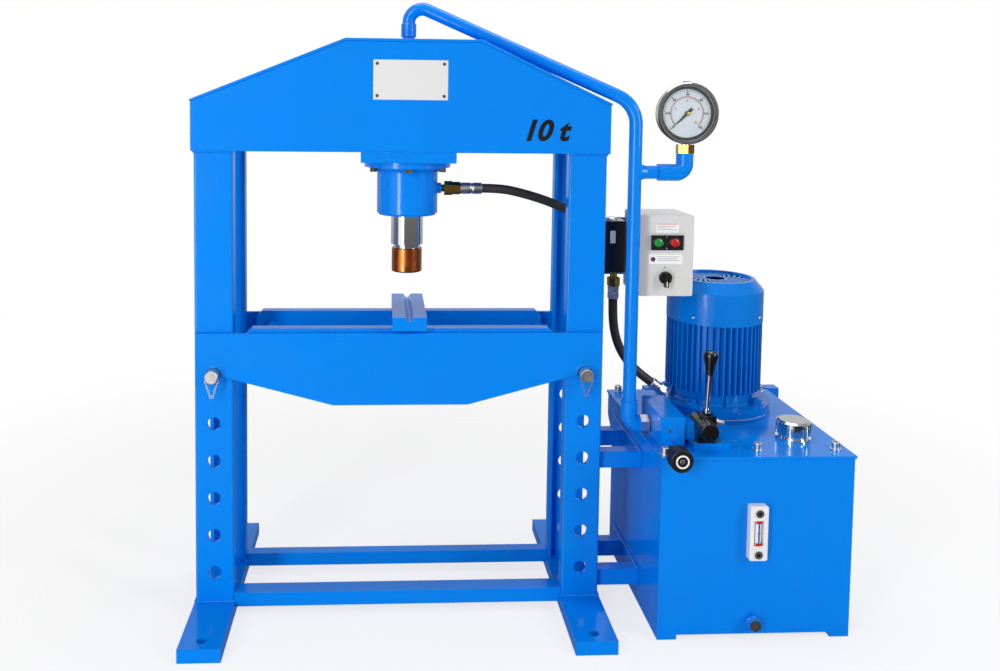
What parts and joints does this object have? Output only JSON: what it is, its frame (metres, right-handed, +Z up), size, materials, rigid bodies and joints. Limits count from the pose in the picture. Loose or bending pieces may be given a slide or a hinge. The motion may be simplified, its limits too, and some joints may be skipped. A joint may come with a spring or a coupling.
{
  "type": "hydraulic press",
  "caption": "Two-post workshop press with a powered hydraulic ram, a pinned adjustable bed, a pressure gauge, a control box and an oil tank with motor on the right.",
  "frame": {"origin": "on the floor, at the centre of the four floor bolt holes, midway between the uprights", "axes": "+Z up along the ram axis, +X to the right towards the tank, -Y the front with the nameplate and gauge dial"},
  "size_m": [1.3953, 0.522, 1.3044],
  "materials": {
    "blue": "gloss",
    "chrome": "polished",
    "copper": "satin",
    "brass": "satin",
    "steel": "satin",
    "black": "satin",
    "rubber": "matte",
    "grey": "satin",
    "plate": "satin",
    "white": "matte",
    "green": "gloss",
    "red": "gloss",
    "glass": "gloss",
    "blacksteel": "satin",
    "motor_alu": "gloss"
  },
  "bodies": {
    "frame": {"upright_left": "blue", "upright_right": "blue", "feet": "blue", "stretchers": "blue", "crown_front_plate": "blue", "crown_rear_plate": "blue", "crown_cover": "blue", "nameplate": "plate", "cylinder_mount_plate": "blue", "cylinder_barrel": "blue", "cylinder_bolts": "steel", "cylinder_gland": "blue", "tank_brackets": "blue", "tank_shell": "blue", "tank_cover": "blue", "tank_fasteners": "steel", "level_gauge": "white", "filler_neck": "chrome", "motor_flange": "motor_alu", "motor_frame": "motor_alu", "motor_cowl": "blue", "pump": "motor_alu", "pressure_pipe": "blue", "pipe_fittings": "blue", "union_nut": "steel", "gauge_branch": "blue", "gauge_case": "steel", "gauge_dial": "white", "gauge_glass": "glass", "manifold": "blue", "valve_body": "blacksteel", "side_bracket": "blue", "junction_block": "blacksteel", "hose_1": "rubber", "hose_2": "rubber", "brass_nuts": "brass", "hose_ferrules": "steel", "hose_adaptors": "steel", "control_box": "grey", "button_base": "black"},
    "ram": {"ram": "chrome", "ram_nose": "copper"},
    "bed": {"bed_front_plate": "blue", "bed_rear_plate": "blue", "bed_rails": "blue", "bed_spacers": "blue", "v_block": "blue"},
    "pin_left": {"support_pin_left": "steel"},
    "pin_right": {"support_pin_right": "steel"},
    "lever": {"valve_lever": "chrome", "lever_knob": "black"},
    "throttle": {"throttle_knob": "black"},
    "selector_switch": {"selector": "black"},
    "green_button": {"button_green": "green"},
    "red_button": {"button_red": "red"},
    "needle": {"gauge_needle": "black"},
    "rotor": {"motor_shaft": "steel", "motor_fan": "black"},
    "cap": {"filler_cap": "chrome"}
  },
  "joints": [
    {"name": "ram_slide", "type": "slide", "parent": "frame", "child": "ram", "axis": [0, 0, -1], "range_m": [0, 0.055]},
    {"name": "bed_lift", "type": "slide", "parent": "frame", "child": "bed", "axis": [0, 0, 1], "range_m": [0, 0.02]},
    {"name": "pin_left_pull", "type": "slide", "parent": "frame", "child": "pin_left", "axis": [0, -1, 0], "range_m": [0, 0.24]},
    {"name": "pin_right_pull", "type": "slide", "parent": "frame", "child": "pin_right", "axis": [0, -1, 0], "range_m": [0, 0.24]},
    {"name": "lever_swing", "type": "hinge", "parent": "frame", "child": "lever", "pos_m": [0.637, -0.15, 0.435], "axis": [1, 0, 0], "range_deg": [-15, 15], "stiffness_Nm_per_rad": 2},
    {"name": "throttle_turn", "type": "hinge", "parent": "frame", "child": "throttle", "pos_m": [0.551, -0.245, 0.3895], "axis": [0, 1, 0], "range_deg": [0, 720]},
    {"name": "selector_turn", "type": "hinge", "parent": "frame", "child": "selector_switch", "pos_m": [0.57, -0.062, 0.717], "axis": [0, 1, 0], "range_deg": [0, 60]},
    {"name": "green_press", "type": "slide", "parent": "frame", "child": "green_button", "axis": [0, 1, 0], "range_m": [0, 0.004], "stiffness_N_per_m": 300},
    {"name": "red_press", "type": "slide", "parent": "frame", "child": "red_button", "axis": [0, 1, 0], "range_m": [0, 0.004], "stiffness_N_per_m": 300},
    {"name": "needle_swing", "type": "hinge", "parent": "frame", "child": "needle", "pos_m": [0.597, -0.094, 1.072], "axis": [0, 1, 0], "range_deg": [0, 270], "stiffness_Nm_per_rad": 0.01},
    {"name": "rotor_spin", "type": "hinge", "parent": "frame", "child": "rotor", "pos_m": [0.737, 0.085, 0.6], "axis": [0, 0, 1], "continuous": true},
    {"name": "cap_lift", "type": "slide", "parent": "frame", "child": "cap", "axis": [0, 0, 1], "range_m": [0, 0.06]}
  ]
}
